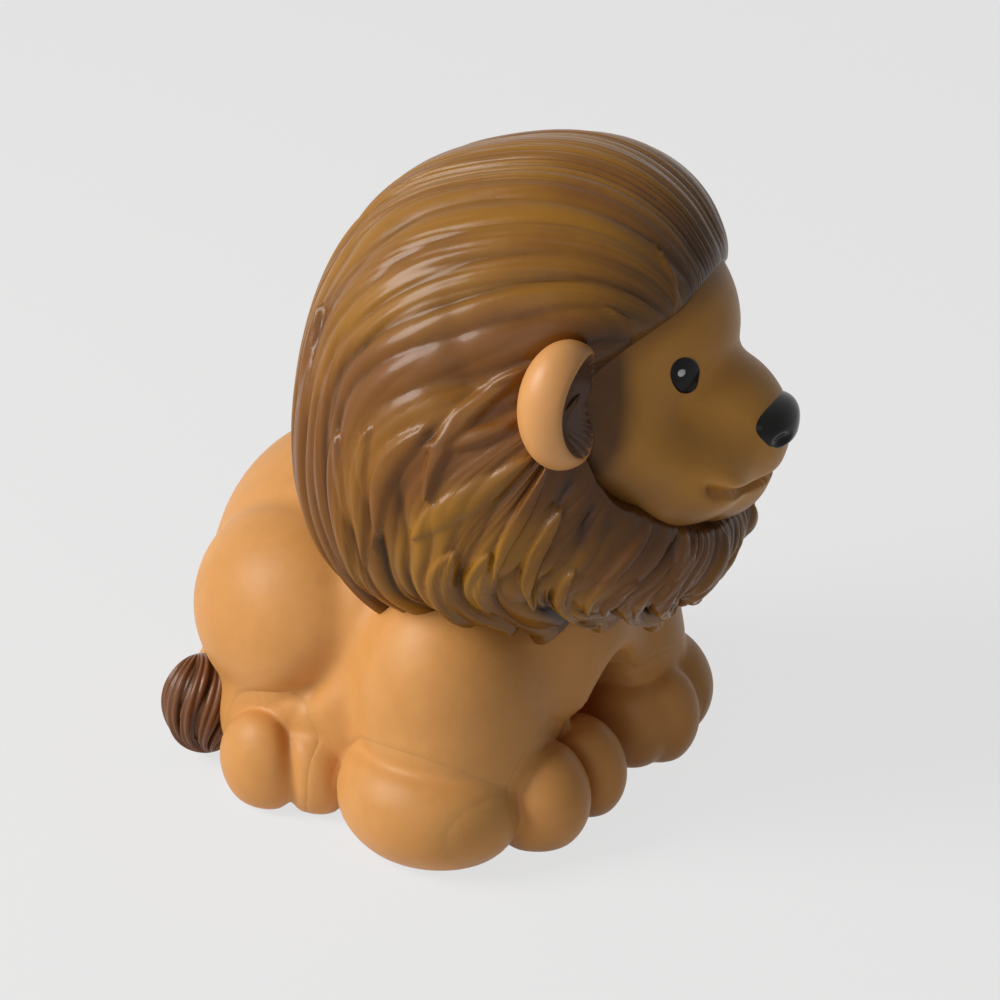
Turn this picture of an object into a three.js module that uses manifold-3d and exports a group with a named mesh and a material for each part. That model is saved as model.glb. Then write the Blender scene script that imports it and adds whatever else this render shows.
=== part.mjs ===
// A seated toy lion in soft vinyl: hollow body and head castings, mane, tail tuft, nose, eyes, base plug.
// Millimetres, +Z up. The lion faces -Y, and the origin is the middle of its footprint on the ground.
import * as THREE from 'three';
import { mergeVertices } from 'three/addons/utils/BufferGeometryUtils.js';
import Module from 'manifold-3d';

const wasm = await Module();
wasm.setup();

// Driving dimensions
const gap = 0.3; // clearance between pieces that seat on each other
const overrun = 2; // how far a cutting tool runs past what it cuts
const body = { width: 46, length: 50, height: 34, wall: 2.2, collarDrop: 5, pawStagger: 2 };
const legGap = { width: 9, length: 26.8, height: 16.8, rise: 7.2, forward: 25, aside: 2.8 };
const tail = { radius: 2.7, height: 5.4, rootHeight: 9 };
const tuft = { length: 11, width: 10.6, height: 10.4, grooveDepth: 1, lift: 0.3 };
const head = { width: 31, depth: 33, height: 42.2, wall: 2.2, sink: 13.8, forward: 6, turn: 20.5 };
const neck = { radius: 5.4, flangeLip: 1.6, flangeThickness: 1.4 };
const mane = { width: 45.2, depth: 43, height: 44, thickness: 3, edge: 1.2, scallop: 2.4, sunk: 0.5 };
const lock = { depth: 1.9, crownDepth: 0.9, inset: 1.6 };
const opening = { width: 30.6, height: 24.4, rise: 22.8, back: 12 };
const ear = { width: 9.4, height: 12, thickness: 7, rim: 1.6, dishDepth: 3.2, sink: 2.2, splay: 24 };
const nose = { width: 8.2, height: 5.1, depth: 5.4, proud: 1.1 };
const eye = { width: 3.6, height: 3.9, depth: 2.2, proud: 0.3, spacing: 13, rise: 27 };
const glint = { size: 0.9, depth: 0.7, gap: 0.12 };
const recess = 0.8; // how deep the nose and eyes are let into the face
const mouth = { width: 15, rise: 16.2, smile: 2.2, groove: 0.7 };
const plug = { radius: 8, lip: 1.2, lipThickness: 1.3, ventRadius: 1.2, recess: 0.5 };

// Lobes of the body: shares of its width, length and height. Those marked paired stand on both sides.
const bodyShares = [
  { at: [0, 0.128, 0.435], half: [0.343, 0.316, 0.494], blend: 0 }, // rump
  { at: [0, -0.204, 0.5], half: [0.3, 0.28, 0.5], blend: 0.174 }, // chest
  { at: [0, -0.03, 0.1], half: [0.33, 0.36, 0.3], blend: 0.065 }, // belly
  { at: [0, -0.32, 0.18], half: [0.16, 0.18, 0.26], blend: 0.065 }, // between the forelegs
  { at: [-0.207, -0.05, 0.338], half: [0.174, 0.18, 0.382], blend: 0.087, paired: true }, // flank
  { at: [-0.283, -0.08, 0.221], half: [0.13, 0.14, 0.247], blend: 0.065, paired: true }, // knee
  { at: [-0.248, 0.088, 0.476], half: [0.215, 0.228, 0.312], blend: 0.03, paired: true }, // haunch
  { at: [-0.33, 0.04, 0.176], half: [0.128, 0.176, 0.218], blend: 0.035, paired: true }, // shank
  // shoulder and foreleg
  { at: [-0.23, -0.292, 0.4], half: [0.2, 0.184, 0.353], blend: 0.043, paired: true, fore: true },
  { at: [-0.248, -0.316, 0.206], half: [0.191, 0.176, 0.274], blend: 0.054, paired: true, fore: true },
];

// Toes, in the same shares
const rightForeToeShares = [
  { at: [-0.322, -0.316, 0.153], half: [0.185, 0.192, 0.194] }, // outer
  { at: [-0.178, -0.428, 0.147], half: [0.113, 0.14, 0.182] }, // middle
  { at: [-0.014, -0.444, 0.141], half: [0.085, 0.098, 0.156] }, // inner
];
const leftForeToeShares = [
  { at: [0.33, -0.3, 0.147], half: [0.148, 0.172, 0.194] }, // outer
  { at: [0.248, -0.388, 0.147], half: [0.104, 0.124, 0.182] }, // middle
  { at: [0.195, -0.378, 0.141], half: [0.083, 0.112, 0.165] }, // inner
];
const hindToeShares = [
  { at: [-0.439, 0.024, 0.135], half: [0.085, 0.096, 0.159] }, // outer
  { at: [-0.387, -0.06, 0.129], half: [0.078, 0.092, 0.153] }, // inner
];

// Lobes of the face: shares of the head's width, depth and height, from the neck's axis at the mane's rim
const faceShares = [
  { at: [0, -0.297, 0.659], half: [0.5, 0.448, 0.341], blend: 0 }, // skull
  { at: [0, -0.558, 0.673], half: [0.265, 0.242, 0.185], blend: 0.129 }, // brow
  { at: [-0.265, -0.473, 0.483], half: [0.226, 0.242, 0.166], blend: 0.129, paired: true }, // cheek
  { at: [0, -0.703, 0.457], half: [0.245, 0.27, 0.187], blend: 0.052 }, // muzzle
  { at: [-0.174, -0.703, 0.408], half: [0.2, 0.218, 0.114], blend: 0.077, paired: true }, // upper lip
  { at: [0, -0.709, 0.334], half: [0.213, 0.2, 0.095], blend: 0.039 }, // chin
];
const earShare = [0, -0.512, 0.645]; // the ear's middle, which lies out on the casting's side
const noseShare = [0, -0.924, 0.498]; // the nose's middle
const headHeartShare = [0, -0.25, 0.6]; // the point that the head's skins are drawn round

// Lobes of the mane: shares of its width, depth and height, from the same point
const maneShares = [
  { at: [0, -0.18, 0.572], half: [0.44, 0.482, 0.43], blend: 0 }, // crown
  { at: [0, -0.093, 0.295], half: [0.5, 0.437, 0.4], blend: 0.22 }, // skirt
  { at: [0, -0.388, 0.223], half: [0.358, 0.286, 0.261], blend: 0.13 }, // beard
  { at: [0, -0.315, 0.757], half: [0.277, 0.24, 0.239], blend: 0.13 }, // forelock
];
const maneHeartShare = [0, -0.2, 0.42];
// How far forward the hairline lies: even, at the chin and at both ends
const hairlineForwardShares = [0.512, 0.043, 0.098];
const liftShares = [1.2, 3.8]; // how steeply the mane rises from the face at the crown and at the chin
const bodyHeartShare = [0, -0.06, 0.38];
const tuftShare = [-0.39, 0.246, 0]; // the tuft's middle on the body's plan
const tailMiddleShare = [0, 0.12, 0]; // the middle of the tail's curve on the body's plan
const tailReachShare = [0.36, 0.285]; // how far the tail's curve lies to the side and to the back of it
const tailRootShare = 0.68; // how much of that the tail has at its root, inside the rump
const tailSpan = [0.45, -1.1]; // where the tail's curve starts and ends, in radians from straight back

const faceRays = { lean: 0.35 }; // closer together at the face
const bodyRays = { lean: 0.15, flat: 0.6 }; // closer together at the front and round the paws

const stepShare = 0.6; // how much of the distance to a form a ray steps on by
const leastStepShare = 0.0035; // the least step, as a share of the ray's reach
const reachShare = 1.2; // how far the head's rays reach, as a share of its height
const glintAsideShare = 0.11; // the glint's place on the eye, as shares of the eye's width and height
const glintUpShare = 0.12;

// The comb: every lock line bends from the hairline over this direction and down to the rim. Its parts
// grow from the chin to the crown as a first value, a share of the way up and a share of that squared.
const combSideShare = 1.1;
const combBackShares = [-0.85, 1.9, -0.7];
const combUpShares = [-0.55, 0.9, 1.15];
const combSwirl = 0.44; // how much nearer the chin a lock starts than it ends, in radians
// How a lock sways, in radians: by how much, how fast along it and how often round the mane
const sways = [
  { angle: 0.1, along: 7.2, round: 3 },
  { angle: 0.03, along: 14.4, round: 9 },
];
const unevenAngles = [0.05, 0.035]; // how far the locks stray from even spacing, in radians
const unevenRounds = [3, 5];

// Counts
const lockCount = 20;
const lockColumns = 4;
const maneRows = 13;
const tuftGrooves = 6;
const halvings = 16;
const roundSides = 18;
const tailPoints = 6;
const tailSides = 5;
const mouthPoints = 9;
const mouthSides = 4;
const fineness = {
  body: 8, foreToe: 3, hindToe: 2, legGap: 3, tuft: 4, cavity: 2,
  head: 8, floor: 5, ear: 3, dish: 2, nose: 3, eye: 1, glint: 1,
};

// Distances and forms

// How far a point lies outside one lobe, an ellipsoid
function lobeDistance(x, y, z, lobe) {
  const { at, half } = lobe;
  const away = [(x - at[0]) / half[0], (y - at[1]) / half[1], (z - at[2]) / half[2]];
  const a = Math.hypot(...away);
  const slope = Math.hypot(away[0] / half[0], away[1] / half[1], away[2] / half[2]);
  return slope > 0 ? (a * (a - 1)) / slope : -Math.min(...half);
}

// The union of two distances, rounded where they meet over the length blend
function merge(a, b, blend) {
  const near = blend > 0 ? Math.max(blend - Math.abs(a - b), 0) : 0;
  return Math.min(a, b) - (near > 0 ? (near * near) / blend / 4 : 0);
}

// What of a lies outside b, rounded in the same way
const carve = (a, b, blend) => -merge(-a, b, blend);

// A form from a table of shares: paired lobes are copied to the other side, where fore ones stand back by
// the stagger
function formOf(shares, [width, length, height], stagger = 0) {
  const sized = ({ at, half, blend, fore }, side) => ({
    at: [at[0] * width * side, at[1] * length + (fore && side < 0 ? stagger : 0), at[2] * height],
    half: [half[0] * width, half[1] * length, half[2] * height],
    blend: blend * width,
  });
  const lobes = shares.flatMap((lobe) => (lobe.paired ? [1, -1] : [1]).map((side) => sized(lobe, side)));
  const joined = (x, y, z) => (d, lobe) => merge(d, lobeDistance(x, y, z, lobe), lobe.blend);
  return (x, y, z) => lobes.reduce(joined(x, y, z), Infinity);
}

const placed = (share, [width, length, height]) =>
  new THREE.Vector3(share[0] * width, share[1] * length, share[2] * height);

// Where a ray from a point inside the form leaves it for the last time
function surfaceReach(form, heart, direction, reach) {
  const at = (distance) => form(
    heart.x + direction.x * distance, heart.y + direction.y * distance, heart.z + direction.z * distance,
  );
  let inside = 0;
  let outside = reach;
  for (let distance = reach; distance > 0;) {
    const clear = at(distance);
    if (clear < 0) {
      inside = distance;
      break;
    }
    outside = distance;
    distance -= Math.max(clear * stepShare, reach * leastStepShare);
  }
  for (let halving = 0; halving < halvings; halving += 1) {
    const middle = (inside + outside) / 2;
    if (at(middle) < 0) inside = middle;
    else outside = middle;
  }
  return outside;
}

// Geometry to solids and back

function positionsOnly(geometry) {
  geometry.deleteAttribute('normal');
  geometry.deleteAttribute('uv');
  return mergeVertices(geometry);
}

function solid(geometry) {
  const plain = positionsOnly(geometry);
  const vertProperties = new Float32Array(plain.attributes.position.array);
  const triVerts = new Uint32Array(plain.index.array);
  return new wasm.Manifold(new wasm.Mesh({ numProp: 3, vertProperties, triVerts }));
}

// A closed skin on a form: rays leave its heart all round, and each ends on the surface. They lie closer
// together towards the front by the share lean, and towards the level of the heart by the share flat.
function skin(form, heart, detail, reach, { lean = 0, flat = 1 } = {}, placement = new THREE.Matrix4()) {
  const geometry = positionsOnly(new THREE.IcosahedronGeometry(1, Math.round(detail)));
  const points = geometry.attributes.position;
  const direction = new THREE.Vector3();
  for (let i = 0; i < points.count; i += 1) {
    direction.fromBufferAttribute(points, i);
    direction.set(direction.x, direction.y - lean, direction.z * flat).normalize();
    const distance = surfaceReach(form, heart, direction, reach);
    direction.multiplyScalar(distance).add(heart);
    points.setXYZ(i, direction.x, direction.y, direction.z);
  }
  return solid(geometry.applyMatrix4(placement));
}

// An egg of three half sizes, turned and placed
function egg(half, position, quaternion, detail) {
  const scale = new THREE.Vector3(...half);
  const placement = new THREE.Matrix4().compose(position, quaternion, scale);
  return solid(new THREE.IcosahedronGeometry(1, Math.round(detail)).applyMatrix4(placement));
}

function cylinder(radius, low, high, y = 0) {
  const geometry = new THREE.CylinderGeometry(radius, radius, high - low, roundSides);
  return solid(geometry.rotateX(Math.PI / 2).translate(0, y, (low + high) / 2));
}

// A ring turned from a closed profile of [radius, height] points, listed anticlockwise
function turned(profile) {
  const points = [...profile, profile[0]].map(([radius, height]) => new THREE.Vector2(radius, height));
  return new THREE.LatheGeometry(points, roundSides).rotateX(Math.PI / 2);
}

// A round section carried along a curve through points
function sweep(points, radius, sides, steps) {
  const section = new THREE.Shape().absarc(0, 0, radius, 0, Math.PI * 2);
  const extrudePath = new THREE.CatmullRomCurve3(points);
  const options = { steps, extrudePath, curveSegments: sides, bevelEnabled: false };
  return solid(new THREE.ExtrudeGeometry(section, options));
}

function piece(name, shape, color, roughness) {
  const { vertProperties, triVerts } = shape.getMesh();
  const geometry = new THREE.BufferGeometry();
  geometry.setAttribute('position', new THREE.BufferAttribute(vertProperties, 3));
  geometry.setIndex(new THREE.BufferAttribute(triVerts, 1));
  geometry.computeVertexNormals();
  const material = new THREE.MeshStandardMaterial({ color, roughness, metalness: 0 });
  const mesh = new THREE.Mesh(geometry, material);
  mesh.name = name;
  return mesh;
}

// Colours
const tan = 0xd9a066;
const brown = 0x7a4a20;
const darkBrown = 0x6b3d22;
const black = 0x14120f;
const white = 0xe9e6df;

const noTurn = new THREE.Quaternion();

// The body

const bodySize = [body.width, body.length, body.height];
const bodyHeart = placed(bodyHeartShare, bodySize);
const collarTop = body.height - body.collarDrop;
const trunkForm = formOf(bodyShares, bodySize, body.pawStagger);

// The hollow between the forelegs, open to the front and to the ground
const legGapMiddle = new THREE.Vector3(legGap.aside, -legGap.forward, legGap.rise);
const legGapHalf = [legGap.width / 2, legGap.length / 2, legGap.height / 2];
const legGapLobe = { at: legGapMiddle.toArray(), half: legGapHalf };
const legGapDistance = (x, y, z) => lobeDistance(x, y, z, legGapLobe);

// The tail lies round the rump on a part of an oval and ends in the tuft
function tailSolid(grown = 0) {
  const points = Array.from({ length: tailPoints }, (_, i) => {
    const share = i / (tailPoints - 1);
    const rooted = (1 - share) ** 3;
    const angle = tailSpan[0] + (tailSpan[1] - tailSpan[0]) * share;
    const out = 1 - (1 - tailRootShare) * rooted;
    const [aside, back] = tailReachShare;
    return placed(tailMiddleShare, bodySize).add(new THREE.Vector3(
      aside * out * body.width * Math.sin(angle),
      back * out * body.length * Math.cos(angle),
      tail.height + (tail.rootHeight - tail.height) * rooted,
    ));
  });
  return sweep(points, tail.radius + grown, tailSides, tailPoints * 2);
}

// Toes by their shares, on one side of the body or, mirrored, on the other
function toes(shares, detail, side = 1) {
  const eggs = shares.map(({ at, half }) => egg(
    placed(half, bodySize).toArray(), placed([at[0] * side, at[1], at[2]], bodySize), noTurn, detail,
  ));
  return wasm.Manifold.union(eggs);
}

// The body's skin from the ground up to a height, grown by a clearance where another piece is cut by it
function bodySkin(top, grown = 0, placement = new THREE.Matrix4()) {
  const form = (x, y, z) => trunkForm(x, y, z) - grown;
  const whole = skin(form, bodyHeart, fineness.body, body.length, bodyRays, placement);
  return whole.intersect(groundSlab(top, placement));
}

// All that lies between the ground and a height
function groundSlab(top, placement = new THREE.Matrix4()) {
  const slab = new THREE.BoxGeometry(body.width * 2, body.length * 2, top);
  return solid(slab.translate(0, 0, top / 2).applyMatrix4(placement));
}

function bodyShell() {
  const ceiling = collarTop - body.wall;
  const cavityForm = (x, y, z) => Math.max(
    trunkForm(x, y, z) + body.wall,
    body.wall + gap - z,
    z - ceiling + gap,
    body.wall - legGapDistance(x, y, z),
  );
  const flangeRadius = neck.radius + neck.flangeLip + gap;
  const lipRadius = plug.radius + plug.lip + gap;
  return bodySkin(collarTop)
    .add(tailSolid())
    .add(toes(rightForeToeShares, fineness.foreToe))
    .add(toes(leftForeToeShares, fineness.foreToe))
    .add(toes(hindToeShares, fineness.hindToe))
    .add(toes(hindToeShares, fineness.hindToe, -1))
    .intersect(groundSlab(collarTop))
    .subtract(egg(legGapHalf, legGapMiddle, noTurn, fineness.legGap))
    .subtract(skin(cavityForm, bodyHeart, fineness.cavity, body.length))
    .subtract(cylinder(plug.radius, -overrun, body.wall + overrun, bodyHeart.y))
    .subtract(cylinder(lipRadius, body.wall, body.wall + plug.lipThickness + gap * 2, bodyHeart.y))
    .subtract(cylinder(neck.radius + gap, ceiling - overrun, collarTop + overrun, -head.forward))
    .subtract(cylinder(flangeRadius, ceiling - neck.flangeThickness - gap * 2, ceiling, -head.forward));
}

// The plug snaps through the hole in the sole and keeps a small vent
function basePlug() {
  const floorTop = body.wall + gap;
  const profile = [
    [plug.ventRadius, plug.recess],
    [plug.radius - gap, plug.recess],
    [plug.radius - gap, floorTop],
    [plug.radius + plug.lip, floorTop],
    [plug.radius + plug.lip, floorTop + plug.lipThickness],
    [plug.ventRadius, floorTop + plug.lipThickness],
  ];
  return solid(turned(profile).translate(0, bodyHeart.y, 0));
}

// The tuft is a grooved drop that lies against the rump
function tailTuft() {
  const middle = placed(tuftShare, bodySize).setZ(tuft.lift + tuft.height / 2);
  const lobe = { at: middle.toArray(), half: [tuft.length / 2, tuft.width / 2, tuft.height / 2] };
  const form = (x, y, z) => {
    const round = Math.atan2(z - middle.z, y - middle.y);
    const groove = tuft.grooveDepth * (1 - Math.abs(Math.sin((round * Math.round(tuftGrooves)) / 2)));
    return Math.max(lobeDistance(x, y, z, lobe) + groove, tuft.lift - z);
  };
  return skin(form, middle, fineness.tuft, tuft.length * 2)
    .subtract(bodySkin(collarTop, gap))
    .subtract(tailSolid(gap));
}

// The head, in its own turned frame: its origin is on the neck's axis at the mane's rim

const headSize = [head.width, head.depth, head.height];
const maneSize = [mane.width, mane.depth, mane.height];
const headHeart = placed(headHeartShare, headSize);
const maneHeart = placed(maneHeartShare, maneSize);
const headRise = body.height - head.sink;
const collarHeight = collarTop - headRise; // the collar's top in the head's frame
const turnAngle = THREE.MathUtils.degToRad(head.turn);
const headReach = head.height * reachShare;
const faceForm = formOf(faceShares, headSize);
const maneLobes = formOf(maneShares, maneSize);

// The body as the head meets it, with the clearance round it
function bodySeat() {
  const placement = new THREE.Matrix4().makeRotationZ(turnAngle).setPosition(0, -head.forward, headRise);
  return bodySkin(collarTop + gap, gap, placement.invert());
}

// How high the mane may stand over the face: it is sunk inside the oval that the face looks out of, and
// rises from there, more steeply towards the chin
function liftAt(x, y, z) {
  const high = opening.height / 2;
  const oval = (Math.hypot(x / (opening.width / 2), (z - opening.rise) / high) - 1) * high;
  const outside = Math.max(oval, y + opening.back);
  const low = Math.min(Math.max(1 / 2 - (z - opening.rise) / high, 0), 1);
  const steep = liftShares[0] + (liftShares[1] - liftShares[0]) * low;
  return Math.max(outside + mane.sunk, 0) * steep - mane.sunk;
}

// The mane without its locks: its lobes, held down to the face round the opening
const hoodForm = (x, y, z) => Math.max(maneLobes(x, y, z), faceForm(x, y, z) - liftAt(x, y, z));

// A place on the oval by its turn from the chin, inside the hairline by a share
function hairPoint(turn, inShare) {
  const [even, chin, ends] = hairlineForwardShares;
  return new THREE.Vector3(
    (opening.width / 2) * inShare * Math.sin(turn),
    -mane.depth * (even + chin * Math.cos(turn) + ends * Math.cos(2 * turn)),
    opening.rise - (opening.height / 2) * inShare * Math.cos(turn),
  );
}

// A place on the hood at the height of its rim, by its turn from straight ahead
function rimPoint(turn) {
  const middle = maneHeart.clone().setZ(0);
  const outward = new THREE.Vector3(Math.sin(turn), -Math.cos(turn), 0);
  return middle.addScaledVector(outward, surfaceReach(maneLobes, middle, outward, headReach));
}

const grown = ([first, second, third], share) => first + second * share + third * share * share;

// The way from the mane's heart to a place on a lock line: a bend from the hairline to the rim
function combedDirection(turn, along) {
  const swayed = THREE.MathUtils.smoothstep(along, 0, 1 / 2);
  const rimTurn = sways.reduce(
    (sum, sway) => sum + sway.angle * swayed * Math.sin(sway.along * along + sway.round * turn), turn,
  );
  let hairTurn = rimTurn;
  for (let i = 0; i < halvings; i += 1) hairTurn = rimTurn - combSwirl * Math.sin(hairTurn);
  const up = (1 - Math.cos(hairTurn)) / 2;
  const inShare = 1 - lock.inset / opening.width;
  const start = hairPoint(hairTurn, inShare).sub(maneHeart).normalize();
  const end = rimPoint(rimTurn).sub(maneHeart).normalize();
  const over = new THREE.Vector3(
    combSideShare * Math.sin(hairTurn), grown(combBackShares, up), grown(combUpShares, up),
  );
  const left = 1 - along;
  return start.multiplyScalar(left * left)
    .addScaledVector(over, 2 * along * left)
    .addScaledVector(end, along * along)
    .normalize();
}

// Where a lock line ends on the mane: grooves lie between the locks, and the rim rises in each groove
function maneReach(direction, groove, along) {
  const depth = lock.crownDepth + (lock.depth - lock.crownDepth) * along;
  const rim = mane.scallop * groove;
  const form = (x, y, z) => carve(hoodForm(x, y, z) + depth * groove, z - rim, mane.edge);
  return surfaceReach(form, maneHeart, direction, headReach);
}

// The mane's outer skin: columns run down the lock lines, and the first and the last row close inside the
// head and under the rim
function combedSkin() {
  const columns = Math.round(lockCount) * Math.round(lockColumns);
  const rows = Math.round(maneRows) + 1;
  const points = [headHeart.clone(), maneHeart.clone().setZ(mane.scallop)];
  const index = [];
  const at = (row, column) => 2 + row * columns + (column % columns);
  for (let row = 0; row < rows; row += 1) {
    for (let column = 0; column < columns; column += 1) {
      const even = (2 * Math.PI * column) / columns;
      const turn = unevenAngles.reduce(
        (sum, angle, i) => sum + angle * Math.sin(unevenRounds[i] * even + i), even,
      );
      const along = Math.min(row / (rows - 2), 1);
      const crest = Math.abs(Math.sin((even * Math.round(lockCount)) / 2));
      const groove = (1 - crest) * THREE.MathUtils.smoothstep(along, 0, 1 / 5);
      const direction = combedDirection(turn, along);
      if (row === rows - 1) {
        direction.copy(rimPoint(turn)).lerp(points[1], 1 / 5).sub(maneHeart).normalize();
      }
      points.push(maneHeart.clone().addScaledVector(direction, maneReach(direction, groove, along)));
      if (row > 0) {
        index.push(at(row - 1, column), at(row, column), at(row, column + 1));
        index.push(at(row - 1, column), at(row, column + 1), at(row - 1, column + 1));
      }
    }
  }
  for (let column = 0; column < columns; column += 1) {
    index.push(0, at(0, column), at(0, column + 1));
    index.push(1, at(rows - 1, column + 1), at(rows - 1, column));
  }
  return solid(new THREE.BufferGeometry().setFromPoints(points).setIndex(index));
}

// The head casting: the face, and under the mane a core that stays one mane's thickness inside it
const coreForm = (x, y, z) => Math.min(faceForm(x, y, z), hoodForm(x, y, z) + mane.thickness);
const castingForm = (x, y, z) => Math.max(coreForm(x, y, z), mane.scallop - z);

// The way the surface faces at a point
function outwardAt(form, point, step) {
  const slope = (axis) => {
    const ahead = point.clone().addScaledVector(axis, step);
    const behind = point.clone().addScaledVector(axis, -step);
    return form(ahead.x, ahead.y, ahead.z) - form(behind.x, behind.y, behind.z);
  };
  const axes = [new THREE.Vector3(1, 0, 0), new THREE.Vector3(0, 1, 0), new THREE.Vector3(0, 0, 1)];
  return new THREE.Vector3(...axes.map(slope)).normalize();
}

// The point of the face straight ahead of a place given by its offset to the side and its height
function onFace(x, z) {
  const back = new THREE.Vector3(x, headHeart.y, z);
  const ahead = new THREE.Vector3(0, -1, 0);
  return back.clone().addScaledVector(ahead, surfaceReach(faceForm, back, ahead, head.depth));
}

function earAt(side) {
  const middle = placed(earShare, headSize);
  const outward = new THREE.Vector3(-side, 0, 0);
  const out = surfaceReach(coreForm, middle, outward, mane.width) + ear.width / 2 - ear.sink;
  middle.addScaledVector(outward, out);
  const turn = new THREE.Quaternion().setFromAxisAngle(
    new THREE.Vector3(0, 0, 1), -side * THREE.MathUtils.degToRad(ear.splay),
  );
  return { middle, turn, half: [ear.width / 2, ear.thickness / 2, ear.height / 2] };
}

function earSolid(side, grown = 0) {
  const { middle, turn, half } = earAt(side);
  return egg(half.map((size) => size + grown), middle, turn, fineness.ear);
}

// The dish of the ear opens forwards and leaves a rim all round
function earDish(side) {
  const { middle, turn, half } = earAt(side);
  const front = new THREE.Vector3(0, -half[1], 0).applyQuaternion(turn).add(middle);
  return egg([half[0] - ear.rim, ear.dishDepth, half[2] - ear.rim], front, turn, fineness.dish);
}

// The neck stub goes down through the collar and holds under it by its flange
function neckStub() {
  const flangeTop = collarHeight - body.wall - gap;
  const flangeLow = flangeTop - neck.flangeThickness;
  const stubTop = collarHeight + gap + head.wall / 2;
  const bore = neck.radius - head.wall;
  const profile = [
    [bore, flangeLow],
    [neck.radius + neck.flangeLip, flangeLow],
    [neck.radius + neck.flangeLip, flangeTop],
    [neck.radius, flangeTop],
    [neck.radius, stubTop],
    [bore, stubTop],
  ];
  return {
    ring: solid(turned(profile)),
    bore: cylinder(bore, flangeLow - overrun, stubTop + head.wall + overrun),
  };
}

// The smile: a groove along the face between the mouth's corners
function mouthGroove() {
  const points = Array.from({ length: mouthPoints }, (_, i) => {
    const side = (2 * i) / (mouthPoints - 1) - 1;
    return onFace((side * mouth.width) / 2, mouth.rise + mouth.smile * side * side);
  });
  return sweep(points, mouth.groove, mouthSides, mouthPoints * 2);
}

// The face's surface, sunk by a depth: floors of the recesses for the nose and eyes
const faceFloor = (depth) => {
  const form = (x, y, z) => faceForm(x, y, z) + depth;
  return skin(form, headHeart, fineness.floor, headReach);
};
const recessFloor = faceFloor(recess);
const padFloor = faceFloor(recess - gap);

function noseEgg(grown = 0) {
  const middle = placed(noseShare, headSize);
  middle.y = onFace(0, middle.z).y + nose.depth / 2 - nose.proud;
  const half = [nose.width / 2, nose.depth / 2, nose.height / 2];
  return egg(half.map((size) => size + grown), middle, noTurn, fineness.nose);
}

function eyeAt(side) {
  const surface = onFace((side * eye.spacing) / 2, eye.rise);
  const outward = outwardAt(faceForm, surface, gap);
  const turn = new THREE.Quaternion().setFromUnitVectors(new THREE.Vector3(0, -1, 0), outward);
  const middle = surface.clone().addScaledVector(outward, eye.proud - eye.depth / 2);
  return { outward, turn, middle };
}

function eyeEgg(side, grown = 0) {
  const { middle, turn } = eyeAt(side);
  const half = [eye.width / 2, eye.depth / 2, eye.height / 2];
  return egg(half.map((size) => size + grown), middle, turn, fineness.eye);
}

// The white dot sits on the upper front of the eye
function glintEgg(side, grown = 0) {
  const { middle, turn, outward } = eyeAt(side);
  const aside = new THREE.Vector3(-eye.width * glintAsideShare, 0, eye.height * glintUpShare);
  aside.applyQuaternion(turn);
  const place = middle.clone().add(aside).addScaledVector(outward, eye.depth / 2 - glint.depth / 4);
  const half = [glint.size / 2, glint.depth / 2, glint.size / 2];
  return egg(half.map((size) => size + grown), place, turn, fineness.glint);
}

function headShell() {
  const cavityFloor = collarHeight + gap + head.wall;
  const cavityForm = (x, y, z) => Math.max(coreForm(x, y, z) + head.wall, cavityFloor - z);
  const stub = neckStub();
  let shell = skin(castingForm, headHeart, fineness.head, headReach, faceRays)
    .subtract(bodySeat())
    .add(stub.ring);
  for (const side of [1, -1]) shell = shell.add(earSolid(side));
  shell = shell.subtract(skin(cavityForm, headHeart, fineness.cavity, headReach)).subtract(stub.bore);
  for (const side of [1, -1]) {
    shell = shell.subtract(earDish(side)).subtract(eyeEgg(side, gap).subtract(recessFloor));
  }
  return shell.subtract(noseEgg(gap).subtract(recessFloor)).subtract(mouthGroove());
}

function maneSolid() {
  const grownCore = (x, y, z) => coreForm(x, y, z) - gap;
  const clearOfHead = skin(grownCore, headHeart, fineness.head, headReach, faceRays);
  return combedSkin()
    .subtract(bodySeat())
    .subtract(clearOfHead)
    .subtract(earSolid(1, gap))
    .subtract(earSolid(-1, gap));
}

// The assembly

const lion = new THREE.Group();
lion.add(piece('body_shell', bodyShell(), tan, 0.55));
lion.add(piece('base_plug', basePlug(), tan, 0.6));
lion.add(piece('tail_tuft', tailTuft(), darkBrown, 0.35));

const headGroup = new THREE.Group();
headGroup.position.set(0, -head.forward, headRise);
headGroup.rotation.z = turnAngle;
headGroup.add(piece('head_shell', headShell(), tan, 0.5));
headGroup.add(piece('mane', maneSolid(), brown, 0.3));
headGroup.add(piece('nose_pad', noseEgg().subtract(padFloor), black, 0.2));
for (const [word, side] of [['right', 1], ['left', -1]]) {
  const pad = eyeEgg(side).subtract(padFloor).subtract(glintEgg(side, glint.gap));
  headGroup.add(piece(`eye_${word}`, pad, black, 0.2));
  headGroup.add(piece(`eye_glint_${word}`, glintEgg(side), white, 0.3));
}
lion.add(headGroup);

// The origin moves to the middle of the footprint
lion.updateMatrixWorld(true);
const box = new THREE.Box3().setFromObject(lion, true);
const figure = new THREE.Group();
lion.position.set(-(box.min.x + box.max.x) / 2, -(box.min.y + box.max.y) / 2, -box.min.z);
figure.add(lion);

export default figure;
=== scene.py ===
import bpy
import numpy as np
from mathutils import Matrix, Vector


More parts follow.
